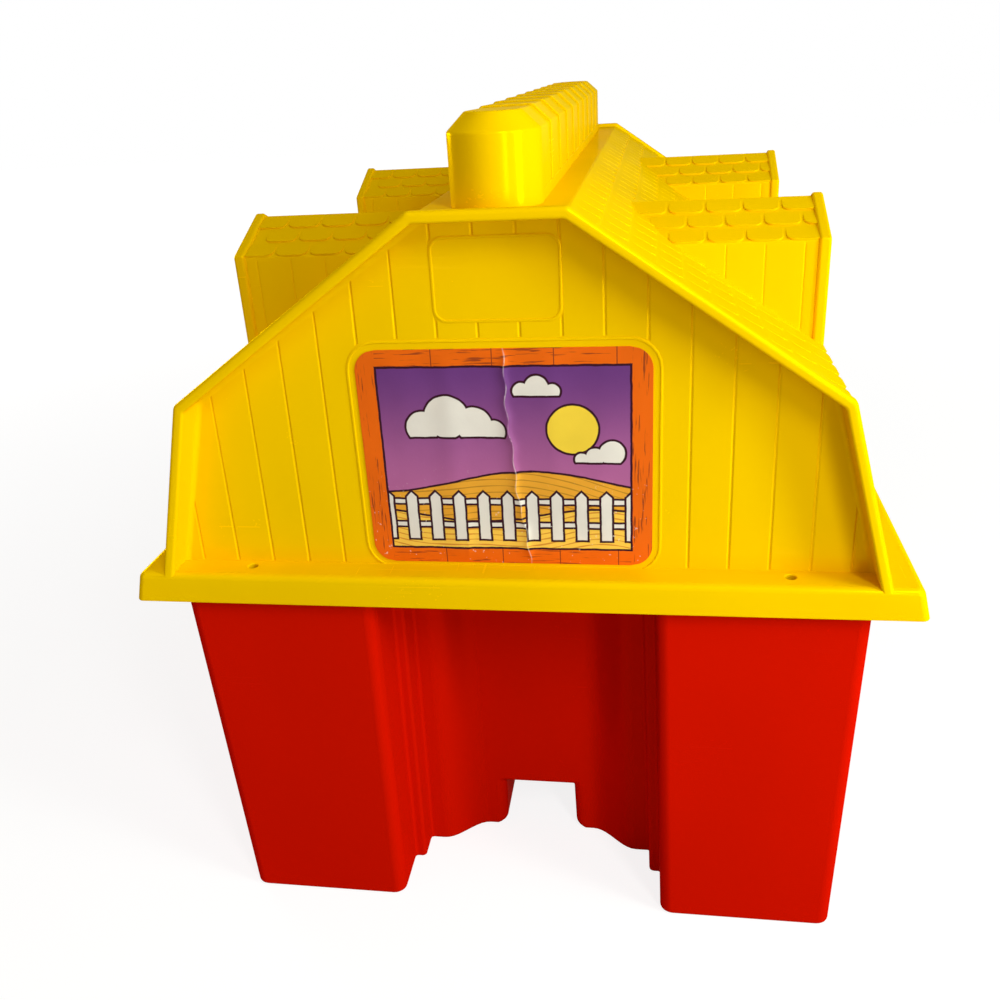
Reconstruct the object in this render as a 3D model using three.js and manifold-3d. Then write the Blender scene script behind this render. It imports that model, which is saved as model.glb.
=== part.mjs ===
// Toy barn: a red storage tub under a yellow lift-off roof with four dormers.
// Lengths are in millimetres. X runs across the gable, Y along the ridge, Z up.
// The origin is on the floor under the middle of the tub. The front gable faces -Y.

import * as THREE from 'three';
import { mergeVertices } from 'three/addons/utils/BufferGeometryUtils.js';
import Module from 'manifold-3d';

const wasm = await Module();
wasm.setup();

// Overall sizes
const lidWidth = 303.4;
const lidLength = 394;
const skirtFootHeight = 159;

// Lid skirt and the ledge round its top
const skirtHeight = 12.3;
const skirtSideFlare = 2.8;
const skirtEndFlare = 1;
const skirtCornerRadius = 3;
const sideLedge = 10.9;
const lidWall = 2.4;

// Gambrel roof, measured on the raised rim at the gables
const steepRise = 69.4;
const steepRun = 18.1;
const slopeRise = 65.6;
const topStripWidth = 52.8;
const rimSideWidth = 4.2;
const rimSlopeWidth = 4;
const rimSideStep = 1;
const rimSlopeStep = 2;
const rimDepth = 4.5;

// Gable walls, set back behind the rim
const gableSetback = 12.5;
const gableLean = 1.5;

// Dormers
const dormerSpacing = 183;
const dormerWidth = 61.4;
const dormerWallHeight = 40.5;
const dormerPeakRise = 12.9;
const dormerFrontSetback = 0.2;
const dormerLipDepth = 4.6;
const dormerLipStep = 1.2;
const dormerRoot = 8;

// Ribbed cupola along the ridge
const cupolaWidth = 32;
const cupolaHeight = 30.2;
const cupolaChamferHeight = 6.2;
const cupolaChamferRun = 6.5;
const cupolaSetback = 11.5;
const cupolaSlices = 10;
const cupolaStep = 0.5;

// Two small holes through each end ledge
const ledgeHoleRadius = 2;
const ledgeHoleSpacing = 207.2;
const ledgeHoleInset = 9.1;

// Tub
const tubWall = 2.6;
const tubDraft = 3.8;
const tubSideInset = 17.8;
const tubEndInset = 5.5;
const tubCornerRadius = 5;
const tubFootChamfer = 1;
const rimPlateThickness = 2.6;
const rimPlateCornerRadius = 3;

// Hand recess in both ends of the tub
const recessWidth = 108.8;
const recessRibStep = 5;
const recessRibDepth = 24;
const recessShelfDepth = 37;
const recessCentreDepth = 49.5;
const recessCurveStart = 24;
const recessCurveEnd = 45;
const recessCurveLeanShare = 0.4;

// Channel under the tub floor, open at both recesses
const channelWidth = 34.4;
const channelTopWidth = 33.2;
const channelHeight = 27;

// Paper labels on the gables
const labelWidth = 107;
const labelHeight = 84.5;
const labelThickness = 0.3;
const labelCornerRadius = 8;
const labelRaise = 1.4;

// Clearances, the overrun of every cut and the distance at which points are merged
const seatGap = 0.3;
const skirtGap = 0.8;
const overrun = 2;
const mergeDistance = 0.00001;

// Steps along arcs and curves
const cornerSteps = 5;
const noseSteps = 14;
const curveSteps = 8;
const holeSides = 16;

// Heights and half widths that follow from the sizes above
const ledgeTop = skirtFootHeight + skirtHeight;
const ledgeUnderside = ledgeTop - lidWall;
const hipHeight = ledgeTop + steepRise;
const ridgeHeight = hipHeight + slopeRise;
const ledgeHalfWidth = lidWidth / 2 - skirtSideFlare;
const ledgeHalfLength = lidLength / 2 - skirtEndFlare;
const footHalfWidth = ledgeHalfWidth - sideLedge;
const hipHalfWidth = footHalfWidth - steepRun;
const topHalfWidth = topStripWidth / 2;
const tubTop = ledgeUnderside - seatGap;
const tubHalfWidth = lidWidth / 2 - tubSideInset;
const tubHalfLength = lidLength / 2 - tubEndInset;

const lidYellow = new THREE.MeshStandardMaterial({ color: 0xf5cb00, roughness: 0.35, metalness: 0 });
const tubRed = new THREE.MeshStandardMaterial({ color: 0xc81400, roughness: 0.3, metalness: 0 });
const labelPaper = new THREE.MeshStandardMaterial({ color: 0xd9641e, roughness: 0.6, metalness: 0 });

// Solids

function toSolid(geometry) {
  const bare = geometry.clone();
  bare.deleteAttribute('normal');
  bare.deleteAttribute('uv');
  const merged = mergeVertices(bare, mergeDistance);
  const vertProperties = new Float32Array(merged.attributes.position.array);
  const triVerts = new Uint32Array(merged.index.array);
  return new wasm.Manifold(new wasm.Mesh({ numProp: 3, vertProperties, triVerts }));
}

function toGeometry(solid) {
  const mesh = solid.getMesh();
  const geometry = new THREE.BufferGeometry();
  geometry.setAttribute('position', new THREE.BufferAttribute(mesh.vertProperties, 3));
  geometry.setIndex(new THREE.BufferAttribute(mesh.triVerts, 1));
  geometry.computeVertexNormals();
  return geometry;
}

function joinAll(solids) {
  return solids.reduce((sum, solid) => sum.add(solid));
}

// A closed body through level rings, each { height, outline } with equally many points
function loft(rings) {
  const count = rings[0].outline.length;
  const positions = [];
  const faces = [];
  for (const { height, outline } of rings) {
    for (const point of outline) positions.push(point.x, point.y, height);
  }
  for (let ring = 0; ring < rings.length - 1; ring += 1) {
    for (let i = 0; i < count; i += 1) {
      const a = ring * count + i;
      const b = ring * count + ((i + 1) % count);
      faces.push(a, b, b + count, a, b + count, a + count);
    }
  }
  const last = (rings.length - 1) * count;
  for (const [a, b, c] of THREE.ShapeUtils.triangulateShape(rings[0].outline, [])) {
    faces.push(a, c, b);
  }
  for (const [a, b, c] of THREE.ShapeUtils.triangulateShape(rings.at(-1).outline, [])) {
    faces.push(last + a, last + b, last + c);
  }
  const geometry = new THREE.BufferGeometry();
  geometry.setAttribute('position', new THREE.Float32BufferAttribute(positions, 3));
  geometry.setIndex(faces);
  return toSolid(geometry);
}

// A profile in X and Z, swept along Y between two ends that may lean with height
function sweepAlongRidge(profile, startAt, endAt) {
  const geometry = new THREE.ExtrudeGeometry(new THREE.Shape(profile), {
    depth: 1,
    bevelEnabled: false,
  });
  const position = geometry.attributes.position;
  for (let i = 0; i < position.count; i += 1) {
    const height = position.getY(i);
    const end = position.getZ(i) < 1 / 2 ? endAt(height) : startAt(height);
    position.setXYZ(i, position.getX(i), end, height);
  }
  return toSolid(geometry);
}

// A profile in Y and Z, swept along X
function sweepAcross(profile, startX, endX) {
  const geometry = new THREE.ExtrudeGeometry(new THREE.Shape(profile), {
    depth: endX - startX,
    bevelEnabled: false,
  });
  const position = geometry.attributes.position;
  for (let i = 0; i < position.count; i += 1) {
    position.setXYZ(i, startX + position.getZ(i), position.getX(i), position.getY(i));
  }
  return toSolid(geometry);
}

// Outlines

function arc(centreX, centreY, radius, fromAngle, toAngle, steps) {
  const points = [];
  for (let i = 0; i <= steps; i += 1) {
    const angle = fromAngle + ((toAngle - fromAngle) * i) / steps;
    points.push(new THREE.Vector2(centreX + radius * Math.cos(angle), centreY + radius * Math.sin(angle)));
  }
  return points;
}

function roundedRectangle(halfWidth, halfLength, radius) {
  const x = halfWidth - radius;
  const y = halfLength - radius;
  const turn = Math.PI / 2;
  return [
    ...arc(x, -y, radius, -turn, 0, cornerSteps),
    ...arc(x, y, radius, 0, turn, cornerSteps),
    ...arc(-x, y, radius, turn, 2 * turn, cornerSteps),
    ...arc(-x, -y, radius, 2 * turn, 3 * turn, cornerSteps),
  ];
}

// Roof

// The gambrel outline, moved in from the rim by one distance at the sides and one at the slopes
function gambrelProfile(sideInset, slopeInset, baseHeight) {
  const steep = new THREE.Vector2(-steepRun, steepRise).normalize();
  const slope = new THREE.Vector2(topHalfWidth - hipHalfWidth, slopeRise).normalize();
  const steepStart = new THREE.Vector2(footHalfWidth - sideInset * steep.y, ledgeTop + sideInset * steep.x);
  const slopeStart = new THREE.Vector2(hipHalfWidth - slopeInset * slope.y, hipHeight + slopeInset * slope.x);
  const between = slopeStart.clone().sub(steepStart);
  const reach = between.cross(slope) / steep.cross(slope);
  const hip = steepStart.clone().addScaledVector(steep, reach);
  const topHeight = ridgeHeight - slopeInset;
  const shoulder = slopeStart.clone().addScaledVector(slope, (topHeight - slopeStart.y) / slope.y);
  const foot = steepStart.clone().addScaledVector(steep, (baseHeight - steepStart.y) / steep.y);
  const right = [foot, hip, shoulder];
  const left = right.map((point) => new THREE.Vector2(-point.x, point.y)).reverse();
  return [...right, ...left];
}

// Distance from the middle of the barn to the gable wall's outer face
function gableDistance(height, inset) {
  const lean = (gableLean * (height - ledgeTop)) / (ridgeHeight - ledgeTop);
  return ledgeHalfLength - gableSetback - lean - inset;
}

function roofBlock() {
  const whole = gambrelProfile(rimSideStep, rimSlopeStep, ledgeUnderside);
  const rim = gambrelProfile(0, 0, ledgeUnderside);
  const rimStart = ledgeHalfLength - rimDepth;
  return joinAll([
    sweepAlongRidge(whole, () => -rimStart, () => rimStart),
    sweepAlongRidge(rim, () => -ledgeHalfLength, () => -rimStart),
    sweepAlongRidge(rim, () => rimStart, () => ledgeHalfLength),
  ]);
}

function gableCuts() {
  const opening = gambrelProfile(rimSideWidth, rimSlopeWidth, ledgeTop);
  const outside = lidLength / 2 + overrun;
  return sweepAlongRidge(opening, () => -outside, (height) => -gableDistance(height, 0)).add(
    sweepAlongRidge(opening, (height) => gableDistance(height, 0), () => outside),
  );
}

function roofHollow() {
  const base = skirtFootHeight - overrun;
  const inner = gambrelProfile(rimSideStep + lidWall, rimSlopeStep + lidWall, base);
  const end = (height) => gableDistance(height, lidWall);
  return sweepAlongRidge(inner, (height) => -end(height), end);
}

// Skirt

function skirtBlock() {
  const foot = roundedRectangle(lidWidth / 2, lidLength / 2, skirtCornerRadius);
  const top = roundedRectangle(ledgeHalfWidth, ledgeHalfLength, skirtCornerRadius);
  return loft([
    { height: skirtFootHeight, outline: foot },
    { height: ledgeTop, outline: top },
  ]);
}

function skirtHollow() {
  const spread = (height) => (ledgeTop - height) / skirtHeight;
  const outline = (height) => roundedRectangle(
    ledgeHalfWidth + skirtSideFlare * spread(height) - lidWall,
    ledgeHalfLength + skirtEndFlare * spread(height) - lidWall,
    skirtCornerRadius - lidWall / 2,
  );
  const foot = skirtFootHeight - overrun;
  return loft([
    { height: foot, outline: outline(foot) },
    { height: ledgeUnderside, outline: outline(ledgeUnderside) },
  ]);
}

function ledgeHoles() {
  const length = lidWall + 2 * overrun;
  const holes = [];
  for (const sideX of [-1, 1]) {
    for (const endY of [-1, 1]) {
      const hole = new THREE.CylinderGeometry(ledgeHoleRadius, ledgeHoleRadius, length, holeSides);
      hole.rotateX(Math.PI / 2);
      hole.translate(
        (sideX * ledgeHoleSpacing) / 2,
        endY * (lidLength / 2 - ledgeHoleInset),
        ledgeTop - lidWall / 2,
      );
      holes.push(toSolid(hole));
    }
  }
  return joinAll(holes);
}

// Dormers

// The gable outline of one dormer, moved in from its lip
function dormerProfile(centreY, inset, baseHeight) {
  const half = dormerWidth / 2;
  const pitch = Math.atan2(dormerPeakRise, half);
  const eave = hipHeight + dormerWallHeight;
  const peakDrop = inset / Math.cos(pitch);
  const eaveDrop = peakDrop - inset * Math.tan(pitch);
  return [
    new THREE.Vector2(centreY - half + inset, baseHeight),
    new THREE.Vector2(centreY + half - inset, baseHeight),
    new THREE.Vector2(centreY + half - inset, eave - eaveDrop),
    new THREE.Vector2(centreY, eave + dormerPeakRise - peakDrop),
    new THREE.Vector2(centreY - half + inset, eave - eaveDrop),
  ];
}

function dormerPlaces() {
  const places = [];
  for (const side of [-1, 1]) {
    for (const end of [-1, 1]) places.push({ side, centreY: (end * dormerSpacing) / 2 });
  }
  return places;
}

function sweepToSide(profile, side, nearX, farX) {
  return sweepAcross(profile, Math.min(side * nearX, side * farX), Math.max(side * nearX, side * farX));
}

function dormerBlocks() {
  const front = hipHalfWidth - dormerFrontSetback;
  const base = hipHeight - dormerRoot;
  return joinAll(dormerPlaces().flatMap(({ side, centreY }) => [
    sweepToSide(dormerProfile(centreY, dormerLipStep, base), side, topHalfWidth, front),
    sweepToSide(dormerProfile(centreY, 0, base), side, front - dormerLipDepth, front),
  ]));
}

function dormerHollows() {
  const front = hipHalfWidth - dormerFrontSetback - lidWall;
  const base = hipHeight - dormerRoot;
  return joinAll(dormerPlaces().map(({ side, centreY }) => (
    sweepToSide(dormerProfile(centreY, dormerLipStep + lidWall, base), side, topHalfWidth, front)
  )));
}

// Cupola

// A stadium in plan whose sides step out again at the start of each slice
function cupolaOutline(inset, step) {
  const radius = cupolaWidth / 2;
  const noseY = ledgeHalfLength - cupolaSetback - radius;
  const pitch = (2 * noseY) / cupolaSlices;
  const round = radius - inset;
  const points = arc(0, -noseY, round, -Math.PI, 0, noseSteps);
  for (let i = 0; i < cupolaSlices; i += 1) {
    const end = -noseY + (i + 1) * pitch;
    points.push(new THREE.Vector2(round - step, end));
    if (i < cupolaSlices - 1) points.push(new THREE.Vector2(round, end));
  }
  points.push(...arc(0, noseY, round - step, 0, Math.PI, noseSteps).slice(1));
  for (let i = cupolaSlices - 1; i >= 0; i -= 1) {
    const start = -noseY + i * pitch;
    points.push(new THREE.Vector2(-round, start));
    if (i > 0) points.push(new THREE.Vector2(-round + step, start));
  }
  points.pop();
  return points;
}

function cupolaBlock() {
  const top = ridgeHeight - rimSlopeStep + cupolaHeight;
  const side = cupolaOutline(0, cupolaStep);
  return loft([
    { height: ridgeHeight - rimSlopeStep - lidWall, outline: side },
    { height: top - cupolaChamferHeight, outline: side },
    { height: top, outline: cupolaOutline(cupolaChamferRun, cupolaStep) },
  ]);
}

function stadium(radius, noseY) {
  return [
    ...arc(0, -noseY, radius, -Math.PI, 0, noseSteps),
    ...arc(0, noseY, radius, 0, Math.PI, noseSteps),
  ];
}

function cupolaHollow() {
  const top = ridgeHeight - rimSlopeStep + cupolaHeight;
  const radius = cupolaWidth / 2 - lidWall - cupolaStep;
  const noseY = ledgeHalfLength - cupolaSetback - cupolaWidth / 2;
  const side = stadium(radius, noseY);
  return loft([
    { height: ridgeHeight - rimSlopeStep - lidWall - overrun, outline: side },
    { height: top - cupolaChamferHeight - lidWall / 2, outline: side },
    { height: top - lidWall, outline: stadium(radius - cupolaChamferRun + lidWall / 2, noseY) },
  ]);
}

function lidSolid() {
  const shell = roofBlock().subtract(gableCuts()).add(skirtBlock()).add(dormerBlocks()).add(cupolaBlock());
  const hollow = joinAll([roofHollow(), skirtHollow(), dormerHollows(), cupolaHollow()]);
  return shell.subtract(hollow).subtract(ledgeHoles());
}

// Tub

// A quarter of the tub's plan from the front recess to the middle of its side
function tubQuarter(inset, radius) {
  const frontY = -(tubHalfLength - inset);
  const sideX = tubHalfWidth - inset;
  const innerX = recessWidth / 2 + inset;
  const points = [];
  for (let i = 0; i <= curveSteps; i += 1) {
    const share = i / curveSteps;
    const blend = (1 + Math.cos(Math.PI * share)) / 2;
    const depth = recessShelfDepth + (recessCentreDepth - recessShelfDepth) * blend;
    const x = recessCurveStart + (recessCurveEnd - recessCurveStart) * share + inset * recessCurveLeanShare;
    points.push(new THREE.Vector2(x, depth - tubHalfLength + inset));
  }
  points.push(
    new THREE.Vector2(innerX - recessRibStep, recessShelfDepth - tubHalfLength + inset),
    new THREE.Vector2(innerX - recessRibStep, recessRibDepth - tubHalfLength + inset),
    new THREE.Vector2(innerX, recessRibDepth - tubHalfLength + inset),
  );
  points.push(...arc(innerX + radius, frontY + radius, radius, -Math.PI, -Math.PI / 2, cornerSteps));
  points.push(...arc(sideX - radius, frontY + radius, radius, -Math.PI / 2, 0, cornerSteps));
  return points;
}

function tubOutline(inset, radius) {
  const frontRight = tubQuarter(inset, radius);
  const backRight = frontRight.map((point) => new THREE.Vector2(point.x, -point.y)).reverse();
  const right = [...frontRight, ...backRight];
  const left = right.map((point) => new THREE.Vector2(-point.x, point.y)).reverse();
  return [...right, ...left];
}

function draftAt(height) {
  return (tubDraft * (tubTop - height)) / tubTop;
}

function tubBlock() {
  return loft([
    { height: 0, outline: tubOutline(draftAt(0) + tubFootChamfer, tubCornerRadius) },
    { height: tubFootChamfer, outline: tubOutline(draftAt(tubFootChamfer), tubCornerRadius) },
    { height: tubTop, outline: tubOutline(0, tubCornerRadius) },
  ]);
}

function tubHollow() {
  const outline = (height) => tubOutline(draftAt(height) + tubWall, tubCornerRadius - tubWall / 2);
  const top = tubTop + overrun;
  return loft([
    { height: tubWall, outline: outline(tubWall) },
    { height: top, outline: outline(top) },
  ]);
}

// The flat rim that bridges the recesses and carries the lid's ledge
function rimPlate() {
  const outline = roundedRectangle(
    ledgeHalfWidth - lidWall - skirtGap,
    ledgeHalfLength - lidWall - skirtGap,
    rimPlateCornerRadius,
  );
  return loft([
    { height: tubTop - rimPlateThickness, outline },
    { height: tubTop, outline },
  ]);
}

// The channel's section, grown by a wall for the hump that it makes in the floor
function channelBar(grow, baseHeight) {
  const half = channelWidth / 2 + grow;
  const topHalf = channelTopWidth / 2 + grow;
  const profile = [
    new THREE.Vector2(-half, baseHeight),
    new THREE.Vector2(half, baseHeight),
    new THREE.Vector2(topHalf, channelHeight + grow),
    new THREE.Vector2(-topHalf, channelHeight + grow),
  ];
  const reach = tubHalfLength;
  return sweepAlongRidge(profile, () => -reach, () => reach);
}

function tubSolid() {
  const hollow = tubHollow().subtract(channelBar(tubWall, 0));
  return tubBlock().add(rimPlate()).subtract(hollow).subtract(channelBar(0, -overrun));
}

// Labels

function labelGeometry() {
  const outline = new THREE.Shape(roundedRectangle(labelWidth / 2, labelHeight / 2, labelCornerRadius));
  return new THREE.ExtrudeGeometry(outline, { depth: labelThickness, bevelEnabled: false });
}

// Placed against the gable wall, facing out of the end that endSign names
function placeLabel(mesh, endSign) {
  const centreHeight = ledgeTop + labelRaise + labelHeight / 2;
  const lean = Math.atan2(gableLean, ridgeHeight - ledgeTop);
  mesh.position.set(0, endSign * (gableDistance(centreHeight, 0) + seatGap), centreHeight);
  mesh.rotation.set(Math.PI / 2 - lean, 0, endSign > 0 ? Math.PI : 0, 'ZXY');
  return mesh;
}

// Assembly

function part(name, geometry, material) {
  const mesh = new THREE.Mesh(geometry, material);
  mesh.name = name;
  return mesh;
}

const barn = new THREE.Group();
barn.add(part('tub', toGeometry(tubSolid()), tubRed));
barn.add(part('lid', toGeometry(lidSolid()), lidYellow));
barn.add(placeLabel(part('front_label', labelGeometry(), labelPaper), -1));
barn.add(placeLabel(part('rear_label', labelGeometry(), labelPaper), 1));

export default barn;
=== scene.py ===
"""Toy barn: a red storage tub under a yellow lift-off roof, built round the packed CAD frame.

Lengths are in metres. X runs across the gable, Y along the ridge, Z up; the front gable faces -Y.
"""

import math

import bmesh
import bpy
from mathutils import Matrix, Vector


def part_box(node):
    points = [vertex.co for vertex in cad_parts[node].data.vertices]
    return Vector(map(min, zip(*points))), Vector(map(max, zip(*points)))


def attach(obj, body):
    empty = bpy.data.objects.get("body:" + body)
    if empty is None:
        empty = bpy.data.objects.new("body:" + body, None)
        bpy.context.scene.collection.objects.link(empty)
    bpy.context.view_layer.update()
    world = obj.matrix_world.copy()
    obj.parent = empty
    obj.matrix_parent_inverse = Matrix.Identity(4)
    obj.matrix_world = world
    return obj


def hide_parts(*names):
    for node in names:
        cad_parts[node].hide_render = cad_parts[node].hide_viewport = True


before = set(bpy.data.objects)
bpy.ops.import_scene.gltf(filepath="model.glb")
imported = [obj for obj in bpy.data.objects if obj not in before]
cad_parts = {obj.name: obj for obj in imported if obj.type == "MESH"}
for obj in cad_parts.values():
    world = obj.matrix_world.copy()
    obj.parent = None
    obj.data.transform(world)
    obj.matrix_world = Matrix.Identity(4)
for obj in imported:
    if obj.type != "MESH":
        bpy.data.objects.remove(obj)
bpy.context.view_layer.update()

bl_info = {
    "name": "Toy Barn",
    "version": (1, 0, 0),
    "blender": (4, 5, 0),
    "location": "View3D > Sidebar > Toy Barn",
    "description": "Builds a toy barn storage tub with a lift-off roof",
    "category": "Object",
}

LID_LOW, LID_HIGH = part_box("lid")
LID_SIZE = LID_HIGH - LID_LOW
MM = 0.001
QUARTER = math.pi / 2
# How far cutters and hidden ends run past the face they meet
CLEAR = 2 * MM
# An edge with a sharper turn than this isn't shaded smooth
SHARP_FROM = math.radians(32)


# Properties

def length(name, description, default):
    return bpy.props.FloatProperty(
        name=name, description=description, default=default, min=0.0, precision=5, unit="LENGTH"
    )


def share(name, description, default):
    return bpy.props.FloatProperty(
        name=name, description=description, default=default, min=0.0, max=1.0, subtype="FACTOR"
    )


def number(name, description, default):
    return bpy.props.IntProperty(name=name, description=description, default=default, min=1)


def power(name, description, default):
    return bpy.props.FloatProperty(name=name, description=description, default=default, min=0.0)


def colour(name, description, default):
    return bpy.props.FloatVectorProperty(
        name=name, description=description, default=default, size=3, min=0.0, max=1.0, subtype="COLOR"
    )


class ToyBarnLid(bpy.types.PropertyGroup):
    """Sizes of the lid's skirt, roof and gables"""

    width: length("Width", "Across the foot of the skirt", LID_SIZE.x)
    depth: length("Length", "Along the ridge, over the foot of the skirt", LID_SIZE.y)
    foot: length("Foot height", "Height of the skirt's lower edge", LID_LOW.z)
    wall: length("Wall", "Thickness of the moulding", 2.4 * MM)
    skirt_height: length("Skirt height", "From its lower edge to the ledge", 12.3 * MM)
    side_flare: length("Side flare", "How far the skirt spreads at each side", 2.8 * MM)
    end_flare: length("End flare", "How far the skirt spreads at each end", 1 * MM)
    skirt_corner: length("Skirt corner", "Radius of the skirt's corners in plan", 3 * MM)
    ledge_edge: length("Ledge edge", "Radius of the edge between ledge and skirt", 2.5 * MM)
    side_ledge: length("Side ledge", "Width of the ledge beside the steep wall", 10.9 * MM)
    steep_rise: length("Steep rise", "Height of the steep wall", 69.4 * MM)
    steep_run: length("Steep run", "How far the steep wall leans in", 18.1 * MM)
    slope_rise: length("Slope rise", "Height of the upper slope", 65.6 * MM)
    strip: length("Top strip", "Width of the flat strip along the ridge", 52.8 * MM)
    hip_radius: length("Hip radius", "Radius where steep wall and slope meet", 3 * MM)
    rim_side: length("Rim at the sides", "Width of the rim's face beside the gable", 4.2 * MM)
    rim_slope: length("Rim at the slopes", "Width of the rim's face over the gable", 4 * MM)
    rim_depth: length("Rim depth", "How far the raised rim runs back over the roof", 4.5 * MM)
    side_step: length("Side step", "How far the rim stands over the steep wall", 1 * MM)
    slope_step: length("Slope step", "How far the rim stands over the slope", 2 * MM)
    setback: length("Gable setback", "From the rim's face to the gable wall", 12.5 * MM)
    lean: length("Gable lean", "How far the gable wall leans out at the ridge", 1.5 * MM)
    reveal: length("Reveal fillet", "Radius between gable wall and rim", 2.2 * MM)
    plank: length("Plank pitch", "Distance between plank grooves", 14.8 * MM)
    groove_width: length("Groove width", "Width of a plank groove", 1.3 * MM)
    groove_depth: length("Groove depth", "Depth of a plank groove", 0.38 * MM)
    hole_radius: length("Hole radius", "Radius of the holes in the end ledges", 2 * MM)
    hole_spacing: length("Hole spacing", "Distance between the holes of one ledge", 207.2 * MM)
    hole_inset: length("Hole inset", "From the foot of the skirt to a hole's axis", 9.1 * MM)
    panel_width: length("Panel width", "Width of the plain panel near the ridge", 45.6 * MM)
    panel_height: length("Panel height", "Height of the plain panel", 29.8 * MM)
    panel_centre: length("Panel centre", "Height of the panel's middle", 281.3 * MM)
    bead: length("Bead width", "Width of the raised line round panel and label", 1 * MM)
    bead_height: length("Bead height", "How far that line stands up", 0.32 * MM)


class ToyBarnDormer(bpy.types.PropertyGroup):
    """Sizes of the four dormers"""

    spacing: length("Spacing", "Along the ridge, between the dormers' middles", 183 * MM)
    width: length("Width", "Over a dormer's lip", 61.4 * MM)
    wall_height: length("Wall height", "From the hip to the dormer's eave", 40.5 * MM)
    peak_rise: length("Peak rise", "From the dormer's eave to its peak", 12.9 * MM)
    front_setback: length("Front setback", "From the hip in to the dormer's front", 0.2 * MM)
    lip_depth: length("Lip depth", "Width of the raised lip at the front", 4.6 * MM)
    lip_step: length("Lip step", "How far the lip stands up", 1.2 * MM)
    lip_round: length("Lip rounding", "Radius of the lip's edges", 1.2 * MM)
    first_groove: length("First groove", "From the lip back to the nearest plank groove", 4.9 * MM)
    root: length("Root", "How far a dormer reaches under the hip", 8 * MM)


class ToyBarnCupola(bpy.types.PropertyGroup):
    """Sizes of the ribbed cupola along the ridge"""

    width: length("Width", "Across the cupola", 32 * MM)
    height: length("Height", "Over the flat strip", 30.2 * MM)
    chamfer_height: length("Chamfer height", "Height of the sloping edge at the top", 6.2 * MM)
    chamfer_run: length("Chamfer run", "How far that edge leans in", 6.5 * MM)
    setback: length("Setback", "From the rim's face to the cupola's nose", 11.5 * MM)
    slices: number("Slices", "How many ribs the cupola has", 10)
    step: length("Step", "How far a rib stands over the one before", 0.6 * MM)
    gap: length("Gap", "Width of the line between two ribs", 0.25 * MM)
    plinth: length("Plinth", "Height of the plain foot under the ribs", 4 * MM)


class ToyBarnShingles(bpy.types.PropertyGroup):
    """Sizes of the moulded shingles"""

    course: length("Course", "Height of one row", 11.1 * MM)
    pitch: length("Pitch", "Distance between shingles in a row", 14.8 * MM)
    gap: length("Gap", "Between two shingles", 0.95 * MM)
    corner: length("Corner", "Radius of the lower corners", 3.2 * MM)
    relief: length("Relief", "How far the lower edge stands up", 0.75 * MM)
    edge: length("Edge", "Width of the worn upper edge", 0.35 * MM)
    shift: length("Shift", "How far the dormers' shingles are moved out", 2.4 * MM)


class ToyBarnTub(bpy.types.PropertyGroup):
    """Sizes of the tub"""

    wall: length("Wall", "Thickness of the moulding", 2.6 * MM)
    draft: length("Draft", "How far the walls lean in at the foot", 3.8 * MM)
    side_inset: length("Side inset", "From the lid's foot in to the tub's side", 17.8 * MM)
    end_inset: length("End inset", "From the lid's foot in to the tub's end", 5.5 * MM)
    corner: length("Corner", "Radius of the upright corners", 5 * MM)
    foot: length("Foot radius", "Radius round the underside", 1.8 * MM)
    seat: length("Seat gap", "Between the tub's rim and the lid's ledge", 0.3 * MM)
    rim_thickness: length("Rim thickness", "Of the plate that bridges the recesses", 2.6 * MM)
    rim_gap: length("Rim gap", "Between the rim and the lid's skirt", 0.8 * MM)
    rim_corner: length("Rim corner", "Radius of the rim's corners", 3 * MM)
    recess_width: length("Recess width", "Of the hand recess at each end", 108.8 * MM)
    rib_step: length("Rib step", "How far the recess narrows", 5 * MM)
    rib_depth: length("Rib depth", "Where the recess narrows", 24 * MM)
    shelf_depth: length("Shelf depth", "Of the recess beside its middle", 37 * MM)
    centre_depth: length("Centre depth", "Of the recess in its middle", 49.5 * MM)
    curve_start: length("Curve start", "Half width of the flat middle", 24 * MM)
    curve_end: length("Curve end", "Half width where the curve meets the shelf", 45 * MM)
    channel_width: length("Channel width", "Of the channel under the floor", 34.4 * MM)
    channel_top: length("Channel top", "Width at the channel's ceiling", 33.2 * MM)
    channel_height: length("Channel height", "From the floor up to its ceiling", 27 * MM)


class ToyBarnLabel(bpy.types.PropertyGroup):
    """Sizes and colours of the paper labels"""

    width: length("Width", "Of the label", 107 * MM)
    height: length("Height", "Of the label", 84.5 * MM)
    thickness: length("Thickness", "Of the paper and its glue", 0.3 * MM)
    corner: length("Corner", "Radius of the label's corners", 8 * MM)
    raised: length("Raised", "From the ledge to the label's lower edge", 1.4 * MM)
    crease: length("Crease", "Height of the main crease", 1.4 * MM)
    border: colour("Border", "Painted wooden border", (0.8, 0.13, 0.004))
    outline: colour("Outline", "Dark printed lines", (0.03, 0.004, 0.012))
    sky_high: colour("High sky", "Top of the sky", (0.135, 0.038, 0.19))
    sky_low: colour("Low sky", "Bottom of the sky", (0.46, 0.13, 0.31))
    straw: colour("Straw", "Nearer field", (0.92, 0.55, 0.07))
    field: colour("Field", "Farther field", (0.8, 0.36, 0.03))
    white: colour("White", "Clouds and fence", (0.78, 0.72, 0.65))
    sun: colour("Sun", "Low sun", (0.9, 0.62, 0.05))


class ToyBarnFinish(bpy.types.PropertyGroup):
    """Colours and gloss of the mouldings"""

    lid: colour("Lid", "Yellow of the roof", (0.9, 0.55, 0.0))
    tub: colour("Tub", "Red of the tub", (0.62, 0.006, 0.0))
    gloss: share("Gloss", "How much the mouldings reflect in their own colour", 0.11)
    variation: share("Variation", "How much the colour wanders over a piece", 0.05)
    wear: share("Wear", "How strongly fine scratches dull the gloss", 0.08)


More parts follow.
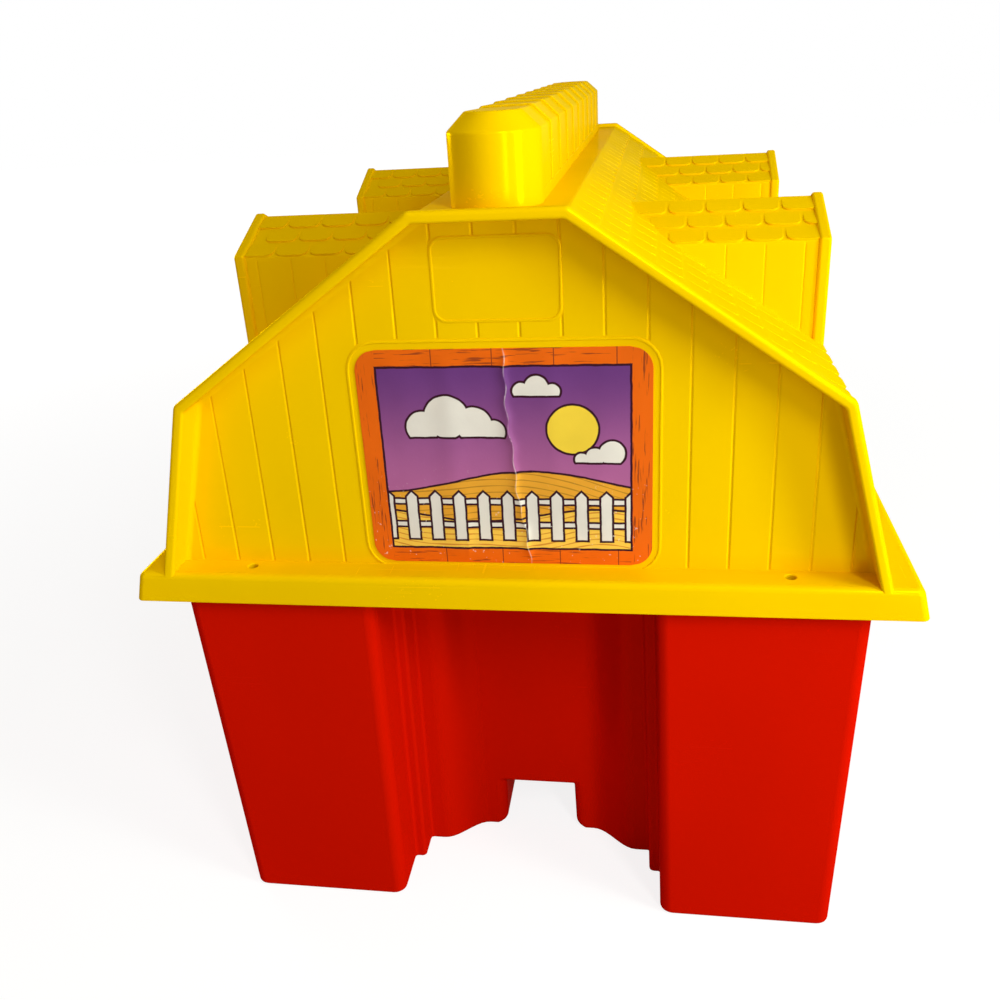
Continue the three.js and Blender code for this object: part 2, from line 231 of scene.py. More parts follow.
class ToyBarnStage(bpy.types.PropertyGroup):
    """Camera, lamps and floor"""

    camera: bpy.props.FloatVectorProperty(
        name="Camera", description="Where the camera stands", subtype="TRANSLATION", size=3,
        default=(0.054757, -0.514100, 0.349358),
    )
    lens: bpy.props.FloatProperty(
        name="Lens", description="Focal length in millimetres", default=35.333, min=1.0, unit="CAMERA"
    )
    low: power("Low", "Power of the low lamp", 1.25)
    high: power("High", "Power of the high lamp", 3.9)
    side: power("Side", "Power of each side lamp", 4.0)
    rear: power("Rear", "Strength of the light behind", 2.6)
    sky: power("Sky", "Strength of the soft light all round", 0.3)
    floor: colour("Floor", "Colour of the floor", (0.4, 0.4, 0.4))


# Outlines

def rounded(corners):
    """Points of an outline; a corner (x, y, radius, steps) becomes an arc, or stays sharp with no steps."""
    points = []
    for i, (x, y, radius, steps) in enumerate(corners):
        here = Vector((x, y))
        if not steps:
            points.append(here)
            continue
        before = (Vector(corners[i - 1][:2]) - here).normalized()
        after = (Vector(corners[(i + 1) % len(corners)][:2]) - here).normalized()
        half = before.angle(after) / 2
        reach = radius / math.tan(half)
        centre = here + (before + after).normalized() * (radius / math.sin(half))
        start = here + before * reach - centre
        end = here + after * reach - centre
        turn = math.atan2(start.x * end.y - start.y * end.x, start.dot(end))
        points += [centre + Matrix.Rotation(turn * k / steps, 2) @ start for k in range(steps + 1)]
    return points


def mirrored(right, middle=()):
    """Corners of an outline's right half, those on its middle line, then its left half."""
    return [*right, *middle, *((-x, *rest) for x, *rest in reversed(right))]


def level(outline, height):
    """The points of an outline in plan, all at one height."""
    return [(point.x, point.y, height) for point in outline]


def half_round(half, reach, steps):
    """Half a circle that bulges towards -Y, its centre at a distance from the origin."""
    turns = [math.pi * k / steps for k in range(steps + 1)]
    return [(-half * math.cos(turn), -reach - half * math.sin(turn)) for turn in turns]


def stadium(half, reach, steps=24):
    """Two such half circles, back to back."""
    arc = half_round(half, reach, steps)
    return arc + [(-x, -y) for x, y in arc]


def rectangle(half_width, half_length, radius, steps=5):
    """A rectangle round the origin with rounded corners."""
    places = ((-1, -1), (1, -1), (1, 1), (-1, 1))
    return rounded([(x * half_width, y * half_length, radius, steps) for x, y in places])


def quarter(radius, steps):
    """(way left, way gone) along a quarter turn, as pairs of distances that both run over its radius."""
    return [
        (radius * (1 - math.sin(QUARTER * k / steps)), radius * (1 - math.cos(QUARTER * k / steps)))
        for k in range(steps + 1)
    ]


# Meshes

def from_mesh(name, points, faces):
    """An object in the scene that holds a mesh whose faces point outwards."""
    mesh = bpy.data.meshes.new(name)
    mesh.from_pydata(points, [], faces)
    loose = bmesh.new()
    loose.from_mesh(mesh)
    bmesh.ops.recalc_face_normals(loose, faces=loose.faces)
    if loose.calc_volume(signed=True) < 0:
        bmesh.ops.reverse_faces(loose, faces=loose.faces)
    loose.to_mesh(mesh)
    loose.free()
    piece = bpy.data.objects.new(name, mesh)
    bpy.context.scene.collection.objects.link(piece)
    return piece


def loft(name, rings):
    """A closed body through rings of equally many points."""
    count = len(rings[0])
    faces = [tuple(range(count)), tuple(range((len(rings) - 1) * count, len(rings) * count))]
    for start in range(0, (len(rings) - 1) * count, count):
        for i in range(count):
            a, b = start + i, start + (i + 1) % count
            faces.append((a, b, b + count, a + count))
    return from_mesh(name, [point for ring in rings for point in ring], faces)


def settle(piece):
    """Makes what the modifiers give the piece's own mesh."""
    graph = bpy.context.evaluated_depsgraph_get()
    mesh = bpy.data.meshes.new_from_object(piece.evaluated_get(graph))
    piece.modifiers.clear()
    piece.data = mesh
    return piece


def combine(piece, operation, others):
    """Joins, cuts or intersects closed bodies; the others are used up."""
    for other in others:
        step = piece.modifiers.new("Combine", "BOOLEAN")
        step.solver = "MANIFOLD"
        step.operation = operation
        step.object = other
    settle(piece)
    for other in others:
        bpy.data.objects.remove(other)
    loose = bmesh.new()
    loose.from_mesh(piece.data)
    torn = sum(not edge.is_manifold for edge in loose.edges)
    loose.free()
    if torn:
        raise RuntimeError(f"{piece.name} isn't closed after {operation}: {torn} edges")
    return piece


def join(pieces):
    """One object that holds the meshes of several, untouched."""
    whole = bmesh.new()
    for piece in pieces:
        whole.from_mesh(piece.data)
    whole.to_mesh(pieces[0].data)
    whole.free()
    for piece in pieces[1:]:
        bpy.data.objects.remove(piece)
    return pieces[0]


def complete(piece, name, material, body, node):
    """Shades a piece, gives it its material and hands it to the frame."""
    piece.name = piece.data.name = name
    piece.data.materials.clear()
    piece.data.materials.append(material)
    piece.data.shade_smooth()
    piece.data.set_sharp_from_angle(angle=SHARP_FROM)
    shading = piece.modifiers.new("Shading", "WEIGHTED_NORMAL")
    shading.keep_sharp = True
    settle(piece)
    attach(piece, body)
    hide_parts(node)


# Nodes

def feed(tree, socket, value):
    """Links a socket to another, or sets its value; a colour is given as three numbers."""
    if isinstance(value, bpy.types.NodeSocket):
        tree.links.new(value, socket)
    elif socket.type == "RGBA":
        socket.default_value = (*value, 1)
    else:
        socket.default_value = value


def maths(tree, operation, *values):
    """The result of one sum on sockets and numbers."""
    node = tree.nodes.new("ShaderNodeMath")
    node.operation = operation
    for socket, value in zip(node.inputs, values):
        feed(tree, socket, value)
    return node.outputs[0]


def blend(tree, amount, first, second):
    """A shader between two others."""
    node = tree.nodes.new("ShaderNodeMixShader")
    for socket, value in zip(node.inputs, (amount, first, second)):
        tree.links.new(value, socket)
    return node.outputs[0]


# Rows and columns

def array_tree():
    """A node tree that sets copies of a mesh in rows and columns; every second row may be shifted."""
    name = "Rows and columns"
    if name in bpy.data.node_groups:
        return bpy.data.node_groups[name]
    tree = bpy.data.node_groups.new(name, "GeometryNodeTree")
    tree.interface.new_socket("Shape", in_out="INPUT", socket_type="NodeSocketGeometry")
    for label, kind in (
        ("Columns", "Int"), ("Rows", "Int"), ("Column Pitch", "Float"), ("Row Pitch", "Float"),
        ("Stagger", "Float"), ("Material", "Material"),
    ):
        tree.interface.new_socket(label, in_out="INPUT", socket_type="NodeSocket" + kind)
    tree.interface.new_socket("Copies", in_out="OUTPUT", socket_type="NodeSocketGeometry")
    given = tree.nodes.new("NodeGroupInput").outputs

    def m(operation, *values):
        return maths(tree, operation, *values)

    index = tree.nodes.new("GeometryNodeInputIndex").outputs[0]
    column = m("MODULO", index, given["Columns"])
    row = m("FLOOR", m("DIVIDE", m("ADD", index, 0.5), given["Columns"]))
    middle = m("MULTIPLY", m("SUBTRACT", given["Columns"], 1), 0.5)
    shift = m("MULTIPLY", m("MODULO", row, 2), given["Stagger"])
    across = m("MULTIPLY", m("ADD", m("SUBTRACT", column, middle), shift), given["Column Pitch"])
    place = tree.nodes.new("ShaderNodeCombineXYZ")
    tree.links.new(across, place.inputs["X"])
    tree.links.new(m("MULTIPLY", row, given["Row Pitch"]), place.inputs["Y"])
    points = tree.nodes.new("GeometryNodePoints")
    tree.links.new(m("MULTIPLY", given["Columns"], given["Rows"]), points.inputs["Count"])
    tree.links.new(place.outputs[0], points.inputs["Position"])
    copies = tree.nodes.new("GeometryNodeInstanceOnPoints")
    tree.links.new(points.outputs[0], copies.inputs["Points"])
    tree.links.new(given["Shape"], copies.inputs["Instance"])
    real = tree.nodes.new("GeometryNodeRealizeInstances")
    tree.links.new(copies.outputs[0], real.inputs[0])
    finish = tree.nodes.new("GeometryNodeSetMaterial")
    tree.links.new(real.outputs[0], finish.inputs["Geometry"])
    tree.links.new(given["Material"], finish.inputs["Material"])
    tree.links.new(finish.outputs[0], tree.nodes.new("NodeGroupOutput").inputs[0])
    return tree


def repeat(piece, columns, rows, column_pitch, row_pitch, stagger, material):
    """Makes the piece rows and columns of itself."""
    tree = array_tree()
    values = {
        "Columns": columns, "Rows": rows, "Column Pitch": column_pitch, "Row Pitch": row_pitch,
        "Stagger": stagger, "Material": material,
    }
    step = piece.modifiers.new("Repeat", "NODES")
    step.node_group = tree
    for socket in tree.interface.items_tree:
        if socket.name in values:
            step[socket.identifier] = values[socket.name]
    return settle(piece)


def lay(piece, origin, up, out):
    """Turns a flat pattern, X across and Y up, onto a face that runs up and faces out."""
    up, out = Vector(up).normalized(), Vector(out).normalized()
    turn = Matrix((up.cross(out), up, out)).transposed().to_4x4()
    piece.data.transform(Matrix.Translation(Vector(origin)) @ turn)


# Materials

class Paint:
    """Builds a material's nodes from plain sums on its sockets."""

    def __init__(self, name, roughness, specular, tint, metallic=0.0):
        self.material = bpy.data.materials.new(name)
        self.material.use_nodes = True
        self.tree = self.material.node_tree
        self.shader = self.tree.nodes["Principled BSDF"]
        self.place = self.tree.nodes.new("ShaderNodeTexCoord").outputs["Object"]
        self.surface("Roughness", roughness)
        self.surface("Specular IOR Level", specular)
        self.surface("Specular Tint", tint)
        self.surface("Metallic", metallic)

    def surface(self, label, value):
        """Sets or links one socket of the shader."""
        feed(self.tree, self.shader.inputs[label], value)

    def maths(self, operation, *values):
        """The result of one sum on sockets and numbers."""
        return maths(self.tree, operation, *values)

    def mapped(self, scale, move=(0, 0, 0), turn=(0, 0, 0)):
        """Object coordinates, scaled, moved and turned."""
        node = self.tree.nodes.new("ShaderNodeMapping")
        feed(self.tree, node.inputs["Vector"], self.place)
        node.inputs["Location"].default_value = move
        node.inputs["Rotation"].default_value = turn
        node.inputs["Scale"].default_value = scale
        return node.outputs[0]

    def noise(self, scale, detail, vector=None):
        """Noise on object coordinates or others, about 0.5 on average."""
        node = self.tree.nodes.new("ShaderNodeTexNoise")
        feed(self.tree, node.inputs["Vector"], vector or self.place)
        node.inputs["Scale"].default_value = scale
        node.inputs["Detail"].default_value = detail
        return node.outputs["Fac"]

    def ramp(self, value, low, high, to_low=0.0, to_high=1.0):
        """A soft step from one value to another, as the given one goes from low to high."""
        node = self.tree.nodes.new("ShaderNodeMapRange")
        node.interpolation_type = "SMOOTHSTEP"
        values = {"Value": value, "From Min": low, "From Max": high, "To Min": to_low, "To Max": to_high}
        for label, given in values.items():
            feed(self.tree, node.inputs[label], given)
        return node.outputs[0]

    def mix(self, amount, first, second):
        """A colour between two others."""
        node = self.tree.nodes.new("ShaderNodeMix")
        node.data_type = "RGBA"
        for socket, value in zip((node.inputs[0], node.inputs[6], node.inputs[7]), (amount, first, second)):
            feed(self.tree, socket, value)
        return node.outputs[2]

    def bump(self, height, distance):
        """Fine relief that is too small for the mesh, in metres."""
        node = self.tree.nodes.new("ShaderNodeBump")
        node.inputs["Strength"].default_value = 1.0
        node.inputs["Distance"].default_value = distance
        feed(self.tree, node.inputs["Height"], height)
        self.surface("Normal", node.outputs[0])


def moulding(name, base, tint, finish):
    """Moulded plastic: a colour that wanders a little, fine scratches and the skin of the mould."""
    roughness = 0.2
    paint = Paint(name, roughness, 0.0, tint, finish.gloss)
    m = paint.maths
    deeper = tuple(value * (1 - finish.variation * 1.6) for value in base)
    flow = paint.noise(9.0, 3.0, paint.mapped(scale=(1, 1, 0.45)))
    tone = paint.mix(paint.ramp(flow, 0.35, 0.65), deeper, base)
    across = paint.mapped(scale=(14, 900, 900), turn=(0.3, 0.2, 0.5))
    along = paint.mapped(scale=(900, 18, 900), turn=(1.1, -0.4, 0.9))
    scratches = [paint.ramp(paint.noise(1.0, 1.0, grain), 0.66, 0.7) for grain in (across, along)]
    rubbed_places = paint.ramp(paint.noise(22.0, 2.0), 0.5, 0.64)
    worn = m("MULTIPLY", m("MULTIPLY", m("MAXIMUM", *scratches), rubbed_places), finish.wear)
    scuffed = tuple(min(1.0, value * 1.1 + 0.012) for value in base)
    paint.surface("Base Color", paint.mix(worn, tone, scuffed))
    cloudy = paint.ramp(paint.noise(35.0, 3.0), 0.3, 0.7, roughness - 0.04, roughness + 0.06)
    paint.surface("Roughness", m("ADD", cloudy, m("MULTIPLY", worn, 0.5)))
    skin = m("ADD", paint.noise(420.0, 2.0), m("MULTIPLY", paint.noise(60.0, 2.0), 2.5))
    paint.bump(m("SUBTRACT", skin, worn), 0.04 * MM)
    return paint.material


# Lid

class Roof:
    """Heights and half widths that follow from the lid's sizes."""

    def __init__(self, lid):
        self.ledge = lid.foot + lid.skirt_height
        self.underside = self.ledge - lid.wall
        self.hip = self.ledge + lid.steep_rise
        self.ridge = self.hip + lid.slope_rise
        self.ledge_x = lid.width / 2 - lid.side_flare
        self.ledge_y = lid.depth / 2 - lid.end_flare
        self.foot_x = self.ledge_x - lid.side_ledge
        self.hip_x = self.foot_x - lid.steep_run
        self.top_x = lid.strip / 2
        self.steep = Vector((-lid.steep_run, lid.steep_rise)).normalized()
        self.slope = Vector((self.top_x - self.hip_x, lid.slope_rise)).normalized()
        self.lid = lid

    def wall_y(self, height):
        """From the middle of the barn to the gable wall at a height."""
        lean = self.lid.lean * (height - self.ledge) / (self.ridge - self.ledge)
        return self.ledge_y - self.lid.setback - lean

    def corners(self, side, slope):
        """Foot, hip and shoulder of the roof's right half, moved in from steep wall and slope."""
        on_steep = Vector((self.foot_x - side * self.steep.y, self.ledge + side * self.steep.x))
        on_slope = Vector((self.hip_x - slope * self.slope.y, self.hip + slope * self.slope.x))
        cross = self.steep.x * self.slope.y - self.steep.y * self.slope.x
        between = on_slope - on_steep
        reach = (between.x * self.slope.y - between.y * self.slope.x) / cross
        hip = on_steep + self.steep * reach
        top = self.ridge - slope
        shoulder = on_slope + self.slope * ((top - on_slope.y) / self.slope.y)
        return on_steep, hip, shoulder

    def outline(self, side, slope, base, radius):
        """The gambrel outline from base up, with rounded hips and shoulders."""
        on_steep, hip, shoulder = self.corners(side, slope)
        foot = on_steep + self.steep * ((base - on_steep.y) / self.steep.y)
        return rounded(mirrored([(*foot, 0, 0), (*hip, radius, 4), (*shoulder, radius, 3)]))


def roof_body(roof):
    """Roof with its two open gables: the walls, reveals, raised rims and slopes."""
    lid = roof.lid
    wall_foot = roof.ledge - 4 * MM
    rim_foot = wall_foot - 1.3 * MM
    inner_edge, outer_edge = 1.1 * MM, 1.5 * MM
    front = []

    def add(side, slope, foot, place):
        outline = roof.outline(side, slope, foot, lid.hip_radius)
        front.append([(point.x, -place(point.y), point.y) for point in outline])

    for left, gone in quarter(lid.reveal, 5):
        add(lid.rim_side + left, lid.rim_slope + left, wall_foot, lambda z, gone=gone: roof.wall_y(z) + gone)
    for left, gone in quarter(inner_edge, 3):
        add(lid.rim_side - gone, lid.rim_slope - gone, wall_foot, lambda z, left=left: roof.ledge_y - left)
    for left, gone in quarter(outer_edge, 3):
        add(left, left, rim_foot, lambda z, gone=gone: roof.ledge_y - gone)
    # Behind the rim: share of its step down to the roof, and millimetres past the rim's depth
    for part, behind in ((0, -0.9), (0.1, -0.35), (0.35, -0.05), (0.75, 0.2), (0.93, 0.6), (1, 1.2)):
        add(lid.side_step * part, lid.slope_step * part, rim_foot,
            lambda z, behind=behind: roof.ledge_y - lid.rim_depth - behind * MM)
    rear = [[(x, -y, z) for x, y, z in ring] for ring in reversed(front)]
    return loft("roof", front + rear)


def roof_hollow(roof):
    """The space under the roof."""
    lid = roof.lid
    inset = (lid.side_step + lid.wall, lid.slope_step + lid.wall)
    outline = roof.outline(*inset, lid.foot - CLEAR, 2 * MM)
    return loft("roof_hollow", [
        [(point.x, end * (roof.wall_y(point.y) - lid.wall), point.y) for point in outline] for end in (-1, 1)
    ])


def skirt_outline(roof, height, inset, corner):
    """The skirt's plan at a height, moved in by a distance."""
    lid = roof.lid
    spread = (roof.ledge - height) / lid.skirt_height
    return rectangle(
        roof.ledge_x + lid.side_flare * spread - inset, roof.ledge_y + lid.end_flare * spread - inset, corner
    )


def skirt_body(roof):
    """The skirt with its rounded ledge."""
    lid = roof.lid
    foot_edge = 0.6 * MM
    rings = []

    def add(height, inset):
        corner = max(lid.skirt_corner - inset * 0.9, 0.6 * MM)
        rings.append(level(skirt_outline(roof, height, inset, corner), height))

    for left, gone in quarter(foot_edge, 2):
        add(lid.foot + gone, left)
    for left, gone in quarter(lid.ledge_edge, 5):
        add(roof.ledge - left, gone)
    return loft("skirt", rings)


def skirt_hollow(roof):
    """The space inside the skirt."""
    lid = roof.lid
    corner = lid.skirt_corner - lid.wall / 2
    return loft("skirt_hollow", [
        level(skirt_outline(roof, height, lid.wall, corner), height)
        for height in (lid.foot - CLEAR, roof.underside)
    ])


def dormer_places(dormer):
    """Side of the roof and place along the ridge of each dormer."""
    return [(side, end * dormer.spacing / 2) for side in (-1, 1) for end in (-1, 1)]


def dormer_outline(roof, dormer, centre, inset, wall_inset):
    """A dormer's outline in Y and Z, moved in all round and further at its walls."""
    half = dormer.width / 2
    pitch = math.atan2(dormer.peak_rise, half)
    eave = roof.hip + dormer.wall_height
    drop = inset / math.cos(pitch)
    eave_height = eave - drop + inset * math.tan(pitch)
    wall = half - inset - wall_inset
    soffit, eave_round, peak_round = 1.7 * MM, 1.1 * MM, 1.6 * MM
    right = [
        (wall, roof.hip - dormer.root, 0, 0),
        (wall, eave_height - soffit, 0, 0),
        (half - inset, eave_height, eave_round, 3),
    ]
    peak = (0, eave + dormer.peak_rise - drop, peak_round, 4)
    return [(point.x + centre, point.y) for point in rounded(mirrored(right, [peak]))]


def dormer_body(roof, dormer, side, centre):
    """One dormer, from inside the roof out to its lip; plank grooves run down its walls."""
    lid = roof.lid
    front = roof.hip_x - dormer.front_setback
    back = front - dormer.lip_depth
    lip, edge = dormer.lip_step, dormer.lip_round
    half_groove = lid.groove_width / 2
    seam_width, seam_middle, seam_depth = 0.5 * MM, 0.2 * MM, 0.15 * MM
    stations = [(roof.top_x, lip, 0)]
    for k in (2, 1, 0):
        middle = back - dormer.first_groove - k * lid.plank
        stations += [
            (middle - half_groove, lip, 0), (middle, lip, lid.groove_depth), (middle + half_groove, lip, 0),
        ]
    stations += [(back - seam_width, lip, 0), (back - seam_middle, lip + seam_depth, 0), (back, lip, 0)]
    stations += [(back + gone, left * lip / edge, 0) for left, gone in quarter(edge, 4)[1:]]
    stations += [(front - left, gone, 0) for left, gone in quarter(edge, 4)]
    return loft("dormer", [
        [(side * x, y, z) for y, z in dormer_outline(roof, dormer, centre, inset, wall_inset)]
        for x, inset, wall_inset in stations
    ])


def dormer_hollow(roof, dormer, side, centre):
    """The space inside one dormer."""
    inset = dormer.lip_step + roof.lid.wall
    outline = dormer_outline(roof, dormer, centre, inset, 0)
    ends = (roof.top_x, roof.hip_x - dormer.front_setback - roof.lid.wall)
    return loft("dormer_hollow", [[(side * x, y, z) for y, z in outline] for x in ends])


def cupola_section(cupola, base, top, inset):
    """Half widths and heights up the cupola's side, from base to its flat top."""
    half = cupola.width / 2 - inset
    shoulder = top - cupola.chamfer_height - inset * 0.5
    shoulder_round, top_round = 1.6 * MM, 1.4 * MM
    corners = [
        (0, base, 0, 0),
        (half, base, 0, 0),
        (half, shoulder, shoulder_round, 3),
        (half - cupola.chamfer_run, top - inset, top_round, 3),
        (0, top - inset, 0, 0),
    ]
    return rounded(corners)[1:-1]


def cupola_bodies(roof, cupola, material):
    """Two round noses, the core between them, the plinth and the ribs of the cupola."""
    base = roof.ridge - roof.lid.slope_step
    top = base + cupola.height
    low = base - roof.lid.wall
    radius = cupola.width / 2
    nose = roof.ledge_y - cupola.setback - radius
    overlap, under_ribs = 1 * MM, 0.25 * MM
    bodies = []
    for end, inset in ((-1, 0), (1, cupola.step)):
        far = end * (nose - overlap)
        bodies.append(loft("nose", [
            [(x, end * nose - end * y, height) for x, y in half_round(half, 0, 24)]
            + [(half, far, height), (-half, far, height)]
            for half, height in cupola_section(cupola, low, top, inset)
        ]))
    bodies.append(loft("core", [
        [(x, y, height) for x, y in stadium(half, nose - overlap)]
        for half, height in cupola_section(cupola, low, top, cupola.step + under_ribs)
    ]))
    inset, edge = cupola.step * 0.4, 0.5 * MM
    plinth = ((inset, low), (inset, base + cupola.plinth - edge), (inset + edge, base + cupola.plinth))
    bodies.append(loft("plinth", [
        [(x, y, height) for x, y in stadium(radius - inset, nose - 0.5 * MM)] for inset, height in plinth
    ]))
    pitch = 2 * nose / cupola.slices
    edge_run, edge_drop = 0.3 * MM, 0.22 * MM
    rings = []
    for place, inset in ((0, edge_drop), (edge_run, 0), (pitch - cupola.gap, cupola.step)):
        half = cupola_section(cupola, base + cupola.plinth, top, inset)
        section = [(point.x, point.y) for point in half] + [(-point.x, point.y) for point in reversed(half)]
        rings.append([(x, place, z) for x, z in section])
    ribs = repeat(loft("ribs", rings), 1, cupola.slices, 0.0, pitch, 0.0, material)
    ribs.data.transform(Matrix.Translation((0, -nose, 0)))
    return bodies + [ribs]


def cupola_hollow(roof, cupola):
    """The space inside the cupola."""
    lid = roof.lid
    base = roof.ridge - lid.slope_step
    top = base + cupola.height
    radius = cupola.width / 2 - lid.wall - cupola.step
    reach = roof.ledge_y - cupola.setback - cupola.width / 2
    return loft("cupola_hollow", [
        [(x, y, height) for x, y in stadium(half, reach, 16)]
        for half, height in (
            (radius, base - lid.wall - CLEAR),
            (radius, top - cupola.chamfer_height - lid.wall / 2),
            (radius - cupola.chamfer_run + lid.wall / 2, top - lid.wall),
        )
    ])


def shingle(shingles, course):
    """One shingle, thick at its lower edge and flush at its upper one."""
    half = (shingles.pitch - shingles.gap) / 2
    row_gap, root, sink = 0.15 * MM, 0.8 * MM, 0.06 * MM
    tall = course - row_gap
    slope = (shingles.relief + sink) / tall
    edge = shingles.edge

    def outline(inset):
        radius = shingles.corner - inset
        return rounded([
            (half - inset, inset, radius, 3), (half - inset, tall, 0, 0),
            (inset - half, tall, 0, 0), (inset - half, inset, radius, 3),
        ])

    rings = [level(outline(0), -root)]
    for inset, fall in ((0, edge), (edge * 0.3, edge * 0.3), (edge, 0)):
        rings.append([(p.x, p.y, shingles.relief - slope * p.y - fall) for p in outline(inset)])
    return loft("shingle", rings)


def groove_section(lid):
    """Outline (across, out) of the cutter of a plank groove, from over the surface to the groove's floor."""
    over, floor = 0.3 * MM, 0.12 * MM
    wide = lid.groove_width / 2 * (1 + over / lid.groove_depth)
    return ((-wide, over), (wide, over), (floor, -lid.groove_depth), (-floor, -lid.groove_depth))


def front_grooves(roof, dormer, side, centre):
    """Cutters for the grooves between the planks of one dormer's front."""
    lid = roof.lid
    front = roof.hip_x - dormer.front_setback
    pitch = math.atan2(dormer.peak_rise, dormer.width / 2)
    peak = roof.hip + dormer.wall_height + dormer.peak_rise
    above_hip, below_edge = 0.6 * MM, 4 * MM
    cutters = []
    for k in (-1.5, -0.5, 0.5, 1.5):
        y = centre + k * lid.plank
        top = peak - abs(y - centre) * math.tan(pitch) - below_edge
        cutters.append(loft("groove", [
            [(side * (front + out), y + across, z) for across, out in groove_section(lid)]
            for z in (roof.hip + above_hip, top)
        ]))
    return cutters


def shingle_field(shingles, columns, rows, run, material):
    """Staggered rows of shingles over a run from eave to ridge, laid flat."""
    course = run / rows
    return repeat(shingle(shingles, course), columns, rows, shingles.pitch, course, 0.5, material)


def slope_shingles(roof, dormer, shingles, material):
    """Shingles of both slopes and both steep walls, cut out round the dormers."""
    lid = roof.lid
    on_steep, hip, shoulder = roof.corners(lid.side_step, lid.slope_step)
    columns = int(2 * roof.ledge_y / shingles.pitch) + 2
    keep = roof.ledge_y - lid.rim_depth + 1.5 * MM
    round_roof = ((-0.2, 0.1), (0.2, 0.1), (0.2, 0.4), (-0.2, 0.4))
    bodies = []
    for low, high in ((on_steep, hip), (hip, shoulder)):
        run = high - low
        rows = round(run.length / shingles.course)
        for side in (-1, 1):
            field = shingle_field(shingles, columns, rows, run.length, material)
            lay(field, (side * low.x, 0, low.y), (side * run.x, 0, run.y), (side * run.y, 0, -run.x))
            trim = loft("trim", [[(x, end * keep, z) for x, z in round_roof] for end in (-1, 1)])
            combine(field, "INTERSECT", [trim])
            cut = [
                dormer_body(roof, dormer, side, centre)
                for other, centre in dormer_places(dormer) if other == side
            ]
            bodies.append(combine(field, "DIFFERENCE", cut))
    return bodies


def dormer_shingles(roof, dormer, shingles, material):
    """Shingles of the dormers' roofs, cut off where they meet the slope."""
    half = dormer.width / 2 - dormer.lip_step
    front = roof.hip_x - dormer.front_setback - dormer.lip_depth
    pitch = math.atan2(dormer.peak_rise, dormer.width / 2)
    drop = dormer.lip_step / math.cos(pitch)
    eave = roof.hip + dormer.wall_height - drop + dormer.lip_step * math.tan(pitch)
    columns, rows = 6, 3
    start = front - columns * shingles.pitch / 2 + shingles.shift
    ends = (roof.top_x, front + 0.4 * MM)
    round_dormer = ((-0.1, 0.2), (0.1, 0.2), (0.1, 0.4), (-0.1, 0.4))
    bodies = []
    for side, centre in dormer_places(dormer):
        for face in (-1, 1):
            field = shingle_field(shingles, columns, rows, half / math.cos(pitch), material)
            lay(
                field, (side * start, centre + face * half, eave),
                (0, -face * math.cos(pitch), math.sin(pitch)), (0, face * math.sin(pitch), math.cos(pitch)),
            )
            trim = loft("trim", [[(side * x, centre + y, z) for y, z in round_dormer] for x in ends])
            combine(field, "INTERSECT", [trim])
            bodies.append(combine(field, "DIFFERENCE", [roof_body(roof)]))
    return bodies


def shingle_piece(scene, material):
    """All shingles of the lid."""
    given = (Roof(scene.barn_lid), scene.barn_dormer, scene.barn_shingles, material)
    return join(slope_shingles(*given) + dormer_shingles(*given))


def upright(roof, end, outline, middle, reach):
    """A body whose outline lies on a gable wall, its middle at a height, and that reaches both ways."""
    points = [(point.x, point.y + middle) for point in outline]
    return loft("upright", [
        [(x, end * (roof.wall_y(z) + place), z) for x, z in points] for place in (-reach, reach)
    ])


def bead(roof, end, half_width, low, high, radius):
    """A raised line round a rounded rectangle on a gable wall, and the cutter that clears its inside."""
    lid = roof.lid
    bead_root, well_depth, over = 0.6 * MM, 0.3 * MM, 0.5 * MM

    def outline(grow):
        centre = (low + high) / 2
        points = rectangle(half_width + grow, (high - low) / 2 + grow, radius + grow, 6)
        return [(point.x, point.y + centre) for point in points]

    def ring(grow, place):
        return [(x, end * (roof.wall_y(z) + place), z) for x, z in outline(grow)]

    body = loft("bead", [
        ring(lid.bead, -bead_root), ring(lid.bead, lid.bead_height * 0.4),
        ring(lid.bead * 0.7, lid.bead_height * 0.85), ring(lid.bead * 0.4, lid.bead_height),
    ])
    well = loft("well", [
        ring(-lid.bead * 0.1, -well_depth), ring(-lid.bead * 0.1, 0.0), ring(0, lid.bead_height * 0.5),
        ring(lid.bead * 0.4, lid.bead_height + over),
    ])
    return body, well


def plank_grooves(roof, label, end, material):
    """Cutters for the grooves between the planks of one gable wall."""
    lid = roof.lid
    below_ledge, above_ledge, above_ridge = 1 * MM, 0.3 * MM, 5 * MM
    into_reveal, gable_round, panel_round = 0.6 * MM, 2 * MM, 3.5 * MM
    past_frame = 2.9 * MM
    cut_reach, spare_reach = 2 * MM, 3 * MM
    heights = (roof.ledge - below_ledge, roof.ridge + above_ridge)
    columns = 2 * int(roof.foot_x / lid.plank)
    bars = loft("bars", [[(x, end * out, z) for x, out in groove_section(lid)] for z in heights])
    repeat(bars, columns, 1, lid.plank, 0.0, 0.0, material)
    for vertex in bars.data.vertices:
        vertex.co.y += end * roof.wall_y(vertex.co.z)
    inside = lid.reveal - into_reveal
    low = roof.ledge + above_ledge
    gable = roof.outline(lid.rim_side + inside, lid.rim_slope + inside, low, gable_round)
    clear = past_frame + lid.bead
    framed = rectangle(label.width / 2 + clear, label.height / 2 + clear, label.corner + clear)
    panel = rectangle(lid.panel_width / 2, lid.panel_height / 2, panel_round)
    label_centre = roof.ledge + label.raised + label.height / 2
    combine(bars, "INTERSECT", [upright(roof, end, gable, 0.0, cut_reach)])
    return combine(bars, "DIFFERENCE", [
        upright(roof, end, framed, label_centre, spare_reach),
        upright(roof, end, panel, lid.panel_centre, spare_reach),
    ])


